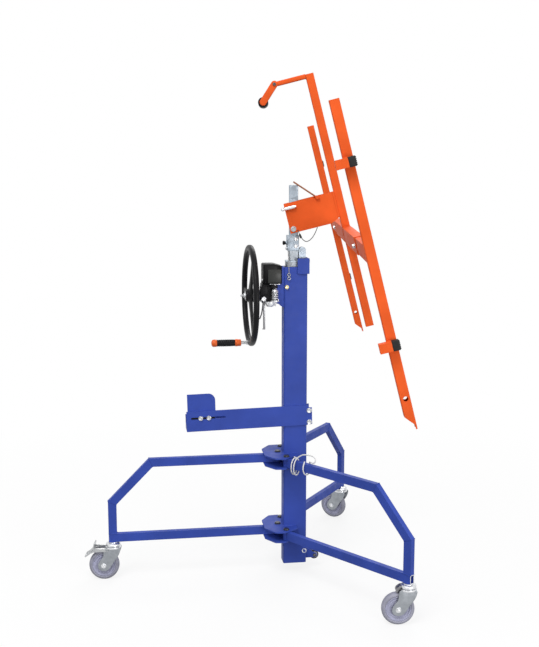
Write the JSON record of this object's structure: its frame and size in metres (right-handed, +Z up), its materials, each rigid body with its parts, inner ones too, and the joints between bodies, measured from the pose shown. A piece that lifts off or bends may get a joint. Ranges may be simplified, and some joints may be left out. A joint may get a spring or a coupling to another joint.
{
  "type": "drywall panel hoist",
  "caption": "Wheeled hoist with a folding leg base, telescopic mast, handwheel winch and a tilting orange carrier that holds a drywall panel.",
  "frame": {"origin": "on the floor below the axis of the outer mast", "axes": "+X from the operator's side toward the panel, +Y to the far side, +Z up"},
  "size_m": [1.2884, 1.9072, 1.9086],
  "materials": {
    "blue_paint": "gloss",
    "orange_paint": "gloss",
    "galvanised": "satin",
    "zinc": "satin",
    "black_plastic": "satin",
    "orange_plastic": "gloss",
    "black_rubber": "matte",
    "grey_wheel": "matte",
    "steel": "satin",
    "rope_steel": "satin",
    "white_cord": "matte",
    "nylon": "matte"
  },
  "bodies": {
    "base": {"outer_mast": "blue_paint", "guide_shoes": "nylon", "head_anchor": "blue_paint", "winch_bracket": "blue_paint", "winch_housing": "black_plastic", "winch_cover": "black_plastic", "brake_arm": "steel", "brake_spring": "steel", "winch_rope": "rope_steel", "storage_arm": "blue_paint", "frame_bolts": "zinc", "roller_bracket": "blue_paint", "upper_leg_bracket": "blue_paint", "lower_leg_bracket": "blue_paint", "leg_pins": "zinc", "rear_leg": "blue_paint"},
    "stop": {"stop_plate": "blue_paint", "stop_bolts": "zinc"},
    "foot_roller": {"foot_roller": "black_rubber"},
    "handwheel": {"handwheel": "black_plastic", "winch_shaft": "zinc", "rope_drum": "steel"},
    "crank_grip": {"crank_grip": "black_plastic", "crank_ends": "orange_plastic"},
    "head_sheave": {"head_sheave": "steel"},
    "release_lever": {"release_lever": "steel"},
    "mid_stage": {"mid_mast": "galvanised", "mid_head": "galvanised", "lift_rope": "rope_steel"},
    "mid_pulley": {"mid_pulley": "steel"},
    "inner_stage": {"inner_mast": "galvanised", "swivel_collar": "galvanised", "collar_lanyard": "rope_steel"},
    "swivel_plunger": {"swivel_plunger": "black_plastic"},
    "head_post": {"head_post": "galvanised"},
    "carrier": {"tilt_bracket": "orange_paint", "carrier_bolts": "zinc", "latch_sleeve": "zinc", "centre_rail": "orange_paint", "cross_beam": "orange_paint", "handle_arm": "orange_paint", "bracket_lanyard": "rope_steel"},
    "latch_pin": {"latch_pin": "zinc"},
    "rod_lever": {"rod_lever": "steel"},
    "handle": {"handle_link": "orange_paint", "handle_grip": "black_plastic"},
    "near_side": {"near_rail": "orange_paint", "near_pads": "black_rubber"},
    "far_side": {"far_rail": "orange_paint", "far_pads": "black_rubber"},
    "near_leg": {"near_leg": "blue_paint", "leg_cord": "white_cord"},
    "far_leg": {"far_leg": "blue_paint"},
    "rear_caster": {"rear_caster_fork": "zinc"},
    "near_caster": {"near_caster_fork": "zinc"},
    "far_caster": {"far_caster_fork": "zinc"},
    "rear_wheel": {"rear_caster_wheel": "grey_wheel"},
    "near_wheel": {"near_caster_wheel": "grey_wheel"},
    "far_wheel": {"far_caster_wheel": "grey_wheel"},
    "rear_brake_pedal": {"rear_brake_pedal": "zinc"}
  },
  "joints": [
    {"name": "mid_lift", "type": "slide", "parent": "base", "child": "mid_stage", "axis": [0, 0, 1], "range_m": [0, 0.85], "deforming": ["winch_rope"]},
    {"name": "inner_lift", "type": "slide", "parent": "mid_stage", "child": "inner_stage", "axis": [0, 0, 1], "range_m": [0, 0.85], "deforming": ["lift_rope"]},
    {"name": "handwheel_turn", "type": "hinge", "parent": "base", "child": "handwheel", "pos_m": [-0.169, 0, 1.088], "axis": [-1, 0, 0], "range_deg": [-1, 3044.84]},
    {"name": "crank_grip_spin", "type": "hinge", "parent": "handwheel", "child": "crank_grip", "pos_m": [-0.2615, 0, 0.9085], "axis": [1, 0, 0], "continuous": true},
    {"name": "head_sheave_spin", "type": "hinge", "parent": "base", "child": "head_sheave", "pos_m": [-0.06625, 0.016, 1.165], "axis": [0, 1, 0], "range_deg": [-1694.96, 1]},
    {"name": "mid_pulley_spin", "type": "hinge", "parent": "mid_stage", "child": "mid_pulley", "pos_m": [0.02825, 0, 1.252], "axis": [0, 1, 0], "range_deg": [-1, 5266.02]},
    {"name": "release_lever_swing", "type": "hinge", "parent": "base", "child": "release_lever", "pos_m": [-0.122, -0.033, 1.078], "axis": [0, 1, 0], "range_deg": [0, 12]},
    {"name": "stop_slide", "type": "slide", "parent": "base", "child": "stop", "axis": [0.9997, 0, 0.0244], "range_m": [-0.03, 0.05]},
    {"name": "foot_roller_spin", "type": "hinge", "parent": "base", "child": "foot_roller", "pos_m": [0.082, 0, 0.053], "axis": [0, 1, 0], "continuous": true},
    {"name": "swivel_plunger_pull", "type": "slide", "parent": "inner_stage", "child": "swivel_plunger", "axis": [-1, 0, 0], "range_m": [0, 0.008], "stiffness_N_per_m": 400, "springref_m": -0.004},
    {"name": "head_swivel", "type": "hinge", "parent": "inner_stage", "child": "head_post", "pos_m": [-0.005, 0, 1.314], "axis": [0, 0, 1], "range_deg": [-81.46, 98.54]},
    {"name": "carrier_tilt", "type": "hinge", "parent": "head_post", "child": "carrier", "pos_m": [-0.005, 0, 1.338], "axis": [-0.1485, -0.9889, 0], "range_deg": [0, 75.83]},
    {"name": "latch_pull", "type": "slide", "parent": "carrier", "child": "latch_pin", "axis": [-0.9588, 0.144, -0.2448], "range_m": [0, 0.015], "stiffness_N_per_m": 300, "springref_m": -0.006},
    {"name": "rod_lever_swing", "type": "hinge", "parent": "carrier", "child": "rod_lever", "pos_m": [0.07841, -0.03882, 1.45414], "axis": [0.1485, 0.9889, 0], "range_deg": [-20, 50]},
    {"name": "handle_fold", "type": "hinge", "parent": "carrier", "child": "handle", "pos_m": [-0.07819, -0.00216, 1.86644], "axis": [0.1485, 0.9889, 0], "range_deg": [-55, 40]},
    {"name": "near_side_slide", "type": "slide", "parent": "carrier", "child": "near_side", "axis": [-0.1485, -0.9889, 0], "range_m": [-0.27, 0.12]},
    {"name": "far_side_slide", "type": "slide", "parent": "carrier", "child": "far_side", "axis": [0.1485, 0.9889, 0], "range_m": [-0.27, 0.12]},
    {"name": "near_leg_fold", "type": "hinge", "parent": "base", "child": "near_leg", "pos_m": [-0.0414, -0.07405, 0.31], "axis": [0, 0, 1], "range_deg": [-60, 0]},
    {"name": "far_leg_fold", "type": "hinge", "parent": "base", "child": "far_leg", "pos_m": [-0.0414, 0.07405, 0.31], "axis": [0, 0, 1], "range_deg": [0, 90]},
    {"name": "rear_caster_swivel", "type": "hinge", "parent": "base", "child": "rear_caster", "pos_m": [-0.702, 0, 0.145], "axis": [0, 0, 1], "continuous": true},
    {"name": "rear_wheel_spin", "type": "hinge", "parent": "rear_caster", "child": "rear_wheel", "pos_m": [-0.73666, 0.00487, 0.0575], "axis": [-0.1392, -0.9903, 0], "continuous": true},
    {"name": "near_caster_swivel", "type": "hinge", "parent": "near_leg", "child": "near_caster", "pos_m": [0.30812, -0.54813, 0.145], "axis": [0, 0, 1], "continuous": true},
    {"name": "near_wheel_spin", "type": "hinge", "parent": "near_caster", "child": "near_wheel", "pos_m": [0.27346, -0.54326, 0.0575], "axis": [-0.1392, -0.9903, 0], "continuous": true},
    {"name": "far_caster_swivel", "type": "hinge", "parent": "far_leg", "child": "far_caster", "pos_m": [0.30812, 0.54813, 0.145], "axis": [0, 0, 1], "continuous": true},
    {"name": "far_wheel_spin", "type": "hinge", "parent": "far_caster", "child": "far_wheel", "pos_m": [0.28092, 0.57016, 0.0575], "axis": [-0.6293, -0.7771, 0], "continuous": true},
    {"name": "rear_brake_press", "type": "hinge", "parent": "rear_caster", "child": "rear_brake_pedal", "pos_m": [-0.72379, 0.00306, 0.12], "axis": [-0.1392, -0.9903, 0], "range_deg": [0, 8]}
  ],
  "couplings": [
    {"joint": "inner_lift", "follows": "mid_lift", "ratio": 1},
    {"joint": "handwheel_turn", "follows": "mid_lift", "rad_per_m": 62.5},
    {"joint": "head_sheave_spin", "follows": "mid_lift", "rad_per_m": -34.783},
    {"joint": "mid_pulley_spin", "follows": "mid_lift", "rad_per_m": 108.11}
  ]
}
